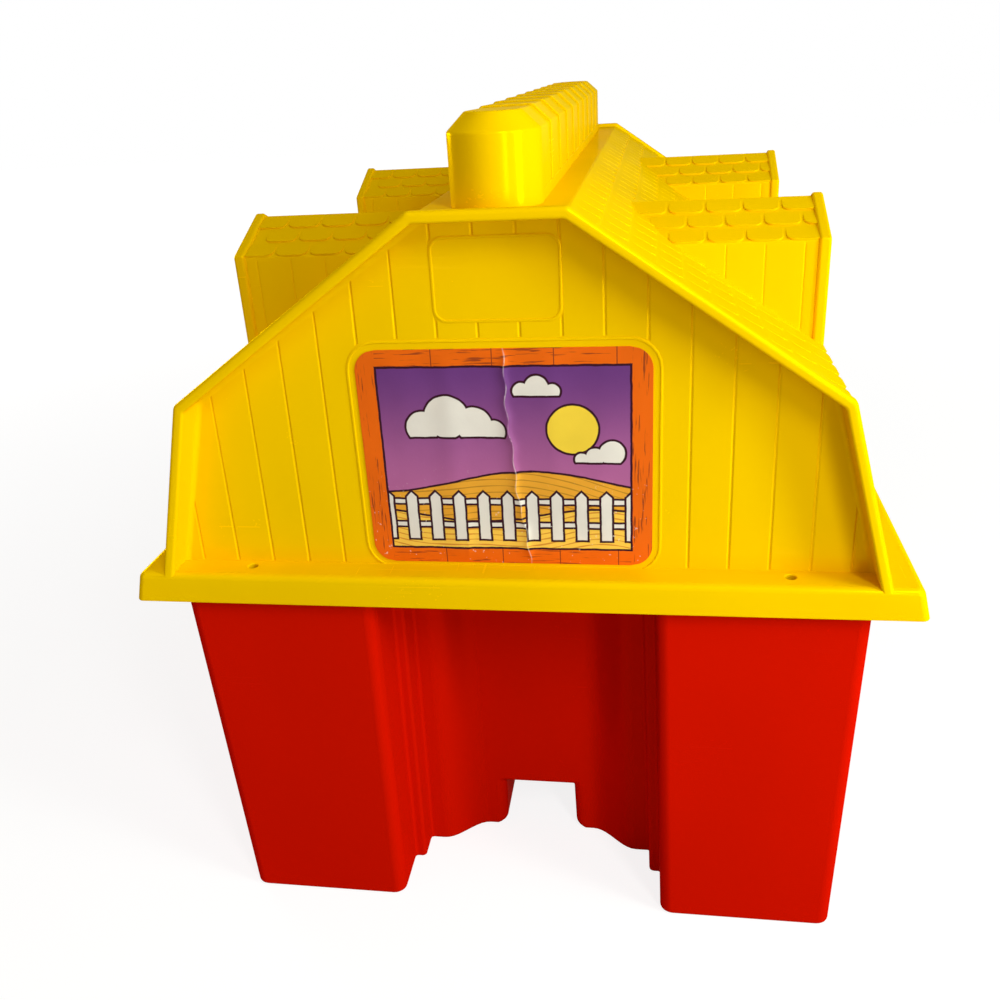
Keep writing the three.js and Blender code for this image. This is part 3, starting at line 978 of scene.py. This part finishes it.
def ledge_holes(roof):
    """Cutters for the small holes through the end ledges."""
    lid = roof.lid
    turns = [math.tau * k / 28 for k in range(28)]
    edge, over = 0.3 * MM, 1 * MM
    steps = (
        (roof.underside - CLEAR, lid.hole_radius), (roof.ledge - edge, lid.hole_radius),
        (roof.ledge, lid.hole_radius + edge), (roof.ledge + over, lid.hole_radius + 1.3 * MM),
    )
    holes = []
    for side in (-1, 1):
        for end in (-1, 1):
            x = side * lid.hole_spacing / 2
            y = end * (lid.depth / 2 - lid.hole_inset)
            holes.append(loft("hole", [
                [(x + radius * math.cos(t), y + radius * math.sin(t), height) for t in turns]
                for height, radius in steps
            ]))
    return holes


def lid_piece(scene, material):
    """The whole lid as one closed moulding."""
    lid, dormer, cupola, label = scene.barn_lid, scene.barn_dormer, scene.barn_cupola, scene.barn_label
    roof = Roof(lid)
    places = dormer_places(dormer)
    bodies = [skirt_body(roof)]
    bodies += [dormer_body(roof, dormer, side, centre) for side, centre in places]
    bodies += cupola_bodies(roof, cupola, material)
    hollows = [roof_hollow(roof), skirt_hollow(roof), cupola_hollow(roof, cupola)]
    hollows += [dormer_hollow(roof, dormer, side, centre) for side, centre in places]
    shell = combine(roof_body(roof), "UNION", bodies)
    combine(shell, "DIFFERENCE", hollows + ledge_holes(roof))
    grooves = [plank_grooves(roof, label, end, material) for end in (-1, 1)]
    for side, centre in places:
        grooves += front_grooves(roof, dormer, side, centre)
    combine(shell, "DIFFERENCE", grooves)
    half_panel = lid.panel_height / 2
    panel_round, clear = 4 * MM, 2.4 * MM
    label_low = roof.ledge + label.raised
    lines = (
        (lid.panel_width / 2 - lid.bead, lid.panel_centre - half_panel + lid.bead,
         lid.panel_centre + half_panel - lid.bead, panel_round),
        (label.width / 2 + clear, label_low - clear, label_low + label.height + clear, label.corner + clear),
    )
    for end in (-1, 1):
        for half_width, low, high, radius in lines:
            line, well = bead(roof, end, half_width, low, high, radius)
            combine(line, "DIFFERENCE", [well])
            combine(shell, "UNION", [line])
    return shell


# Tub

class TubPlan:
    """The tub's outline at any height."""

    def __init__(self, lid, tub):
        self.tub = tub
        self.top = lid.foot + lid.skirt_height - lid.wall - tub.seat
        self.half_x = lid.width / 2 - tub.side_inset
        self.half_y = lid.depth / 2 - tub.end_inset

    def draft(self, height):
        return self.tub.draft * (self.top - height) / self.top

    def outline(self, inset, radius):
        """The plan moved in by a distance, with a radius at its outer corners."""
        tub = self.tub
        soft = 1.6 * MM
        steps = 10
        points = []
        for i in range(steps + 1):
            along = i / steps
            deep = (1 + math.cos(math.pi * along)) / 2
            depth = tub.shelf_depth + (tub.centre_depth - tub.shelf_depth) * deep
            x = tub.curve_start + (tub.curve_end - tub.curve_start) * along + inset * 0.4
            points.append((x, depth - self.half_y + inset, 0, 0))
        inner = tub.recess_width / 2 + inset
        rib = tub.rib_depth - self.half_y + inset
        points += [
            (inner - tub.rib_step, tub.shelf_depth - self.half_y + inset, soft, 3),
            (inner - tub.rib_step, rib, soft, 3),
            (inner, rib, soft, 3),
            (inner, inset - self.half_y, radius, 6),
            (self.half_x - inset, inset - self.half_y, radius, 6),
        ]
        return rounded(mirrored(points + [(x, -y, r, s) for x, y, r, s in reversed(points)]))

    def ring(self, height, inset, radius):
        return level(self.outline(self.draft(height) + inset, radius), height)


def channel_cutter(plan):
    """The channel under the floor, with rounded edges at its ends and along its feet."""
    tub = plan.tub
    foot, wall_round, roof_round, ceiling_round = 4.5 * MM, 4.5 * MM, 3 * MM, 1.8 * MM
    outward, under = 60 * MM, 0.02 * MM
    recess = plan.half_y - tub.centre_depth
    front = [(wall_round * left, wall_round * gone, roof_round * gone) for left, gone in quarter(1.0, 6)]
    front.append((-outward, wall_round, roof_round))
    rings = []
    for from_wall, wider, higher in front:
        half, top_half = tub.channel_width / 2 + wider, tub.channel_top / 2 + wider
        far = half + foot + CLEAR
        outline = rounded(mirrored([
            (far, -CLEAR, 0, 0), (far, -under, 0, 0), (half, -under, foot, 5),
            (top_half, tub.channel_height + higher, ceiling_round, 3),
        ]))
        rings.append([(p.x, -(recess - plan.draft(p.y) - from_wall), p.y) for p in outline])
    rings.reverse()
    rear = [[(x, -y, z) for x, y, z in ring] for ring in reversed(rings)]
    return loft("channel", rings + rear)


def tub_piece(scene):
    """The whole tub as one closed moulding."""
    tub, lid = scene.barn_tub, scene.barn_lid
    plan = TubPlan(lid, tub)
    rings = [plan.ring(gone, left, tub.corner) for left, gone in quarter(tub.foot, 4)]
    body = loft("tub", rings + [plan.ring(plan.top, 0, tub.corner)])
    half_x = lid.width / 2 - lid.side_flare - lid.wall - tub.rim_gap
    half_y = lid.depth / 2 - lid.end_flare - lid.wall - tub.rim_gap
    edge, floor_round, hump_round = 0.4 * MM, 2 * MM, 2 * MM
    low = -tub.rim_thickness
    plate = [
        level(rectangle(half_x - inset, half_y - inset, tub.rim_corner), plan.top + height)
        for height, inset in ((low, edge), (low + edge, 0), (-edge, 0), (0, edge))
    ]
    inner = tub.corner - tub.wall / 2
    cavity = [plan.ring(tub.wall + gone, tub.wall + left, inner) for left, gone in quarter(floor_round, 3)]
    cavity.append(plan.ring(plan.top + CLEAR, tub.wall, inner))
    hump_half, hump_top = tub.channel_width / 2 + tub.wall, tub.channel_height + tub.wall
    lean, below = 0.6 * MM, -1 * MM
    section = rounded([
        (-hump_half, below, 0, 0), (hump_half, below, 0, 0),
        (hump_half - lean, hump_top, hump_round, 3), (lean - hump_half, hump_top, hump_round, 3),
    ])
    hump = loft("hump", [[(point.x, end * plan.half_y, point.y) for point in section] for end in (-1, 1)])
    hollow = combine(loft("hollow", cavity), "DIFFERENCE", [hump])
    combine(body, "UNION", [loft("plate", plate)])
    return combine(body, "DIFFERENCE", [hollow, channel_cutter(plan)])


# Labels

# The main crease in millimetres off the middle: where it starts, its lean and bow over the way down,
# and the size and rate of its jags
CREASE_PATH = (1.0, 0.8, 6.4)
CREASE_JAGS = ((0.35, 17.0), (0.4, 47.0))


def crease_x(down):
    """Across place of the main crease at a share of the way down the label."""
    start, lean, bow = CREASE_PATH
    jag = sum(size * math.sin(down * rate) for size, rate in CREASE_JAGS)
    return (start + lean * down + bow * down * down + jag) * MM


def crease_height(label, x, y):
    """How far the paper stands off the wall at a place on the label."""
    down = 0.5 - y / label.height
    off = x - crease_x(down)
    second_part, second_fall = 0.25, 1.2 * MM
    ripple_height, fade = 0.06 * MM, 5 * MM
    fall = 2.3 * MM if off < 0 else 0.9 * MM
    height = label.crease * math.exp(-abs(off) / fall) * (1 - 0.35 * down)
    second_x = x + (15.5 + 1.1 * max(0.0, down - 0.83) * 6) * MM
    low_only = max(0.0, min(1.0, (down - 0.6) * 5))
    height += second_part * label.crease * math.exp(-abs(second_x) / second_fall) * low_only
    bends = ((-20, 5, 0.3), (18, 4, 0.2 * (1 - down)), (-37, 7, 0.17), (36, 6, 0.14))
    for place, width, part in bends:
        height += part * label.crease * math.exp(-(((x / MM - place) / width) ** 2))
    ripple = math.sin(y / MM * 0.21 + x / MM * 0.05) * math.sin(x / MM * 0.13 + 1.3)
    height += ripple_height * (1 + ripple)
    edge = min(label.width / 2 - abs(x), label.height / 2 - abs(y))
    return height * max(0.0, min(1.0, edge / fade))


def label_piece(scene, end, name, material, node):
    """A closed paper sheet on a gable wall, with creases pressed into it."""
    roof, label = Roof(scene.barn_lid), scene.barn_label
    middle = roof.ledge + label.raised + label.height / 2
    columns, rows = 214, 110
    off_wall = 0.05 * MM
    points = []
    for off in (0, 1):
        for row in range(rows + 1):
            y = label.height * (row / rows - 0.5)
            near = max(0.0, abs(y) - label.height / 2 + label.corner)
            half = label.width / 2 - label.corner + math.sqrt(max(0.0, label.corner ** 2 - near ** 2))
            for column in range(columns + 1):
                x = half * (2 * column / columns - 1)
                height = off_wall + off * (label.thickness + crease_height(label, x, y))
                points.append((-end * x, end * (roof.wall_y(middle + y) + height), middle + y))
    wide = columns + 1
    count = wide * (rows + 1)
    faces = []
    for row in range(rows):
        for column in range(columns):
            a = row * wide + column
            faces.append((a, a + 1, a + wide + 1, a + wide))
            faces.append((count + a, count + a + wide, count + a + wide + 1, count + a + 1))
    border = list(range(wide))
    border += [row * wide + columns for row in range(1, rows + 1)]
    border += [rows * wide + column for column in range(columns - 1, -1, -1)]
    border += [row * wide for row in range(rows - 1, 0, -1)]
    for a, b in zip(border, border[1:] + border[:1]):
        faces.append((a, a + count, b + count, b))
    piece = from_mesh(name, points, faces)
    complete(piece, name, material, "lid", node)


def print_material(scene, end):
    """Satin paper printed with a generic farm: border, evening sky, sun, clouds, fields and a fence."""
    label, lid = scene.barn_label, scene.barn_lid
    middle = Roof(lid).ledge + label.raised + label.height / 2
    paint = Paint("label print front" if end < 0 else "label print rear", 0.42, 0.12, (1, 0.8, 0.7))
    m = paint.maths
    split = paint.tree.nodes.new("ShaderNodeSeparateXYZ")
    feed(paint.tree, split.inputs[0], paint.mapped(scale=(-end / MM, 1, 1 / MM), move=(0, 0, -middle / MM)))
    u, v = split.outputs["X"], split.outputs["Z"]
    wobble = m("MULTIPLY", m("SUBTRACT", paint.noise(260.0, 2.0), 0.5), 0.5)

    # Shapes are distances from their outline, in millimetres and below zero inside

    def circle(x, y, radius):
        across, up = m("SUBTRACT", u, x), m("SUBTRACT", v, y)
        squares = m("ADD", m("MULTIPLY", across, across), m("MULTIPLY", up, up))
        return m("SUBTRACT", m("SQRT", squares), radius)

    def band(y, half):
        return m("SUBTRACT", m("ABSOLUTE", m("SUBTRACT", v, y)), half)

    def box(across, y, half_x, half_y):
        return m("MAXIMUM", m("SUBTRACT", across, half_x), band(y, half_y))

    def wave(value, rate, height):
        return m("MULTIPLY", m("SINE", m("MULTIPLY", value, rate)), height)

    def to_line(value, half_pitch):
        return m("ABSOLUTE", m("WRAP", value, half_pitch, -half_pitch))

    def within(distance, soft=0.12):
        return paint.ramp(distance, -soft, soft, 1.0, 0.0)

    def furrows(value, half_pitch, scale, width):
        uneven = m("MULTIPLY", paint.noise(scale, 1.0), width)
        return within(m("SUBTRACT", to_line(value, half_pitch), uneven))

    def draw(below, distance, fill):
        line = 0.42
        distance = m("ADD", distance, wobble)
        inked = paint.mix(within(m("SUBTRACT", distance, line)), below, label.outline)
        return paint.mix(within(m("ADD", distance, line)), inked, fill)

    # Sky, sun and clouds; places are taken from the label's middle
    sky = paint.mix(paint.ramp(v, -18, 38), label.sky_low, label.sky_high)
    art = draw(sky, circle(25.0, 12.0, 9.5), label.sun)
    for puffs, floor_level in (
        (((-30, 13, 6.5), (-21, 17, 8.5), (-11, 14, 7), (-3.5, 11.5, 4.5)), 9.0),
        (((7, 26.5, 3.5), (12.5, 28, 4.6), (18, 26.3, 3.2)), 24.5),
        (((33, 1.5, 3.8), (39, 3, 5), (28, 0.5, 2.8)), -1.0),
    ):
        cloud = circle(*puffs[0])
        for puff in puffs[1:]:
            cloud = m("MINIMUM", cloud, circle(*puff))
        art = draw(art, m("MAXIMUM", cloud, m("SUBTRACT", floor_level, v)), label.white)

    # Far and near field with their furrows
    hill = m("SUBTRACT", v, m("SUBTRACT", wave(m("ADD", u, 20.0), 0.055, 4.2), 8.5))
    stubble = furrows(m("ADD", hill, m("MULTIPLY", u, 0.12)), 1.3, 130.0, 0.45)
    dark_field = tuple(value * 0.62 for value in label.field)
    art = draw(art, hill, paint.mix(stubble, label.field, dark_field))
    near = m("SUBTRACT", v, m("SUBTRACT", wave(m("SUBTRACT", u, 12.0), 0.07, 2.6), 22.0))
    straws = furrows(m("ADD", near, wave(u, 0.13, 1.2)), 1.1, 170.0, 0.5)
    dark_straw = (label.straw[0] * 0.72, label.straw[1] * 0.5, label.straw[2] * 0.5)
    art = draw(art, near, paint.mix(straws, label.straw, dark_straw))

    # Fence: two rails, then pointed posts
    rail = 1.2
    art = draw(art, m("MINIMUM", band(-16.5, rail), band(-26.0, rail)), label.white)
    step = to_line(u, 4.6)
    slant = m("MULTIPLY", m("ADD", step, m("SUBTRACT", v, -12.2)), math.sqrt(0.5))
    art = draw(art, m("MAXIMUM", box(step, -22.0, 2.3, 10.5), slant), label.white)

    # Wooden border, its grain along each board
    half_u, half_v = label.width / MM / 2 - 7.6, label.height / MM / 2 - 6.4
    along = paint.noise(1.0, 2.0, paint.mapped(scale=(90, 90, 1500)))
    upright_grain = paint.noise(1.0, 2.0, paint.mapped(scale=(1500, 90, 90)))
    side = within(m("SUBTRACT", half_u, m("ABSOLUTE", u)), 0.2)
    ends = m("SUBTRACT", 1.0, side)
    grain = m("ADD", m("MULTIPLY", side, upright_grain), m("MULTIPLY", ends, along))
    joint = m("MULTIPLY", within(m("SUBTRACT", to_line(m("ADD", u, 3.0), 11.0), 0.16)), ends)
    lines = m("MAXIMUM", paint.ramp(grain, 0.6, 0.68, 0.0, 0.6), m("MULTIPLY", joint, 0.8))
    boards = paint.mix(lines, label.border, label.outline)
    art = draw(art, m("MULTIPLY", box(m("ABSOLUTE", u), 0.0, half_u, half_v), -1.0), boards)

    # Paper that shows where the print is rubbed: along the crease and as specks low down
    start, lean, bow = CREASE_PATH
    down = m("SUBTRACT", 0.5, m("DIVIDE", v, label.height / MM))
    fold = m("ADD", start, m("MULTIPLY", down, lean))
    fold = m("ADD", fold, m("MULTIPLY", m("MULTIPLY", down, down), bow))
    for size, rate in CREASE_JAGS:
        fold = m("ADD", fold, wave(down, rate, size))
    off = m("ABSOLUTE", m("SUBTRACT", u, fold))
    patches = paint.ramp(paint.noise(120.0, 3.0), 0.3, 0.7)
    rubbed = m("MULTIPLY", within(m("SUBTRACT", off, 0.2), 0.2), patches)
    specks = paint.ramp(paint.noise(650.0, 3.0), 0.68, 0.74, 0.0, 0.5)
    worn = m("MAXIMUM", m("MULTIPLY", rubbed, 0.4), m("MULTIPLY", specks, paint.ramp(down, 0.45, 0.9)))
    bare_paper = (0.82, 0.76, 0.7)
    tone = paint.ramp(paint.noise(40.0, 4.0), 0.3, 0.7, 0.9, 1.0)
    shade = paint.tree.nodes.new("ShaderNodeVectorMath")
    shade.operation = "SCALE"
    feed(paint.tree, shade.inputs[0], paint.mix(worn, art, bare_paper))
    feed(paint.tree, shade.inputs["Scale"], tone)
    paint.surface("Base Color", shade.outputs[0])
    paint.surface("Roughness", paint.ramp(paint.noise(90.0, 3.0), 0.3, 0.7, 0.36, 0.5))
    paint.bump(m("ADD", paint.noise(900.0, 3.0), m("MULTIPLY", paint.noise(110.0, 2.0), 3.0)), 0.03 * MM)
    return paint.material


# Stage

# Turns that aim the camera, in degrees, each about an axis of its own
CAMERA_TURNS = (("Z", 9.9065), ("X", 65.8822), ("Z", -3.5646))


def make_stage(scene):
    """Camera, lamps, soft light all round and the pale floor."""
    stage = scene.barn_stage
    camera = bpy.data.cameras.new("camera")
    camera.sensor_width = 36
    camera.sensor_fit = "HORIZONTAL"
    camera.lens = stage.lens
    camera.clip_start, camera.clip_end = 0.01, 50
    view = bpy.data.objects.new("camera", camera)
    aimed = Matrix.Translation(stage.camera)
    for axis, degrees in CAMERA_TURNS:
        aimed = aimed @ Matrix.Rotation(math.radians(degrees), 4, axis)
    view.matrix_world = aimed
    scene.collection.objects.link(view)
    scene.camera = view
    warm, cool, plain = (1.0, 0.9, 0.82), (0.83, 1.0, 0.92), (1.0, 1.0, 1.0)
    aim = Vector((0, -0.1, 0.15))
    for name, place, size, strength, tint in (
        ("low lamp", (0.45, -0.85, 0.22), (0.12, 0.45), stage.low, warm),
        ("high lamp", (0.45, -0.85, 0.85), (0.15, 0.4), stage.high, plain),
        ("side lamp", (0.8, -0.5, 0.35), (0.15, 0.5), stage.side, cool),
        ("upper side lamp", (0.75, -0.45, 0.7), (0.4, 0.4), stage.side, cool),
        ("rear light", (-1.0, 0.8, 0.2), None, stage.rear, plain),
    ):
        lamp = bpy.data.lights.new(name, "AREA" if size else "SUN")
        lamp.energy = strength
        lamp.color = tint
        if size:
            lamp.shape = "RECTANGLE"
            lamp.size, lamp.size_y = size
        else:
            lamp.angle = math.radians(25)
        stand = bpy.data.objects.new(name, lamp)
        stand.location = place
        stand.rotation_euler = (aim - Vector(place)).to_track_quat("-Z", "Y").to_euler()
        stand.visible_camera = False
        scene.collection.objects.link(stand)
    world = bpy.data.worlds.new("studio")
    world.use_nodes = True
    scene.world = world
    tree = world.node_tree
    soft = tree.nodes["Background"]
    white = tree.nodes.new("ShaderNodeBackground")
    for node, tint, strength in ((soft, warm, stage.sky), (white, plain, 1.0)):
        feed(tree, node.inputs["Color"], tint)
        feed(tree, node.inputs["Strength"], strength)
    lit = blend(tree, seen_directly(tree), soft.outputs[0], white.outputs[0])
    tree.links.new(lit, tree.nodes["World Output"].inputs["Surface"])
    make_floor(scene, stage)
    scene.view_settings.view_transform = "Standard"


def seen_directly(tree):
    """One for what the camera sees, straight or by way of gloss or glass."""
    path = tree.nodes.new("ShaderNodeLightPath").outputs
    seen = path["Is Camera Ray"]
    for label in ("Is Glossy Ray", "Is Transmission Ray"):
        seen = maths(tree, "MAXIMUM", seen, path[label])
    return seen


def make_floor(scene, stage):
    """A wide pale floor that keeps the barn's shadow and fades to white away from it."""
    half, whiteness = 4.0, 1.7
    near, far = 0.35, 1.3
    mesh = bpy.data.meshes.new("floor")
    corners = [(x * half, y * half, 0) for x, y in ((-1, -1), (1, -1), (1, 1), (-1, 1))]
    mesh.from_pydata(corners, [], [(0, 1, 2, 3)])
    floor = bpy.data.objects.new("floor", mesh)
    scene.collection.objects.link(floor)
    paint = Paint("pale floor", 0.9, 0.0, (1, 1, 1))
    paint.surface("Base Color", stage.floor)
    tree = paint.tree
    glow = tree.nodes.new("ShaderNodeEmission")
    glow.inputs["Strength"].default_value = whiteness
    reach = tree.nodes.new("ShaderNodeVectorMath")
    reach.operation = "LENGTH"
    tree.links.new(paint.place, reach.inputs[0])
    fade = tree.nodes.new("ShaderNodeMapRange")
    for label, value in (("From Min", near), ("From Max", far), ("To Min", 0.5), ("To Max", 0.58)):
        fade.inputs[label].default_value = value
    tree.links.new(reach.outputs["Value"], fade.inputs["Value"])
    amount = maths(tree, "MULTIPLY", seen_directly(tree), fade.outputs[0])
    lit = blend(tree, amount, paint.shader.outputs[0], glow.outputs[0])
    tree.links.new(lit, tree.nodes["Material Output"].inputs["Surface"])
    mesh.materials.append(paint.material)


# Add-on

class TOYBARN_OT_stage(bpy.types.Operator):
    """Sets up the camera, the lamps and the floor"""

    bl_idname = "toy_barn.stage"
    bl_label = "Stage"

    def execute(self, context):
        make_stage(context.scene)
        return {"FINISHED"}


class TOYBARN_OT_tub(bpy.types.Operator):
    """Builds the tub"""

    bl_idname = "toy_barn.tub"
    bl_label = "Tub"

    def execute(self, context):
        scene = context.scene
        finish = scene.barn_finish
        material = moulding("tub plastic", finish.tub, (1, 0.06, 0.0), finish)
        complete(tub_piece(scene), "tub_shell", material, "tub", "tub")
        return {"FINISHED"}


class TOYBARN_OT_lid(bpy.types.Operator):
    """Builds the lid with its roof, dormers, cupola, shingles and planks"""

    bl_idname = "toy_barn.lid"
    bl_label = "Lid"

    def execute(self, context):
        scene = context.scene
        finish = scene.barn_finish
        material = moulding("lid plastic", finish.lid, (1, 0.85, 0.0), finish)
        complete(lid_piece(scene, material), "lid_shell", material, "lid", "lid")
        complete(shingle_piece(scene, material), "roof_shingles", material, "lid", "lid")
        return {"FINISHED"}


class TOYBARN_OT_labels(bpy.types.Operator):
    """Builds the paper labels on both gables"""

    bl_idname = "toy_barn.labels"
    bl_label = "Labels"

    def execute(self, context):
        scene = context.scene
        for end, node in ((-1, "front_label"), (1, "rear_label")):
            label_piece(scene, end, node + "_paper", print_material(scene, end), node)
        return {"FINISHED"}


class TOYBARN_PT_panel(bpy.types.Panel):
    """Lists the barn's pieces with their sizes and colours"""

    bl_idname = "TOYBARN_PT_panel"
    bl_label = "Toy Barn"
    bl_space_type = "VIEW_3D"
    bl_region_type = "UI"
    bl_category = "Toy Barn"

    def draw(self, context):
        for operator in OPERATORS:
            self.layout.operator(operator.bl_idname)
        for name, group in GROUPS.items():
            box = self.layout.box()
            box.label(text=group.__doc__)
            for key in group.__annotations__:
                box.prop(getattr(context.scene, name), key)


OPERATORS = (TOYBARN_OT_stage, TOYBARN_OT_tub, TOYBARN_OT_lid, TOYBARN_OT_labels)
GROUPS = {
    "barn_lid": ToyBarnLid,
    "barn_dormer": ToyBarnDormer,
    "barn_cupola": ToyBarnCupola,
    "barn_shingles": ToyBarnShingles,
    "barn_tub": ToyBarnTub,
    "barn_label": ToyBarnLabel,
    "barn_finish": ToyBarnFinish,
    "barn_stage": ToyBarnStage,
}
CLASSES = (*GROUPS.values(), *OPERATORS, TOYBARN_PT_panel)


def register():
    for entry in CLASSES:
        bpy.utils.register_class(entry)
    for name, group in GROUPS.items():
        setattr(bpy.types.Scene, name, bpy.props.PointerProperty(type=group))


def unregister():
    for name in GROUPS:
        delattr(bpy.types.Scene, name)
    for entry in reversed(CLASSES):
        bpy.utils.unregister_class(entry)


def main():
    register()
    bpy.ops.toy_barn.stage()
    bpy.ops.toy_barn.tub()
    bpy.ops.toy_barn.lid()
    bpy.ops.toy_barn.labels()


if __name__ == "__main__":
    main()
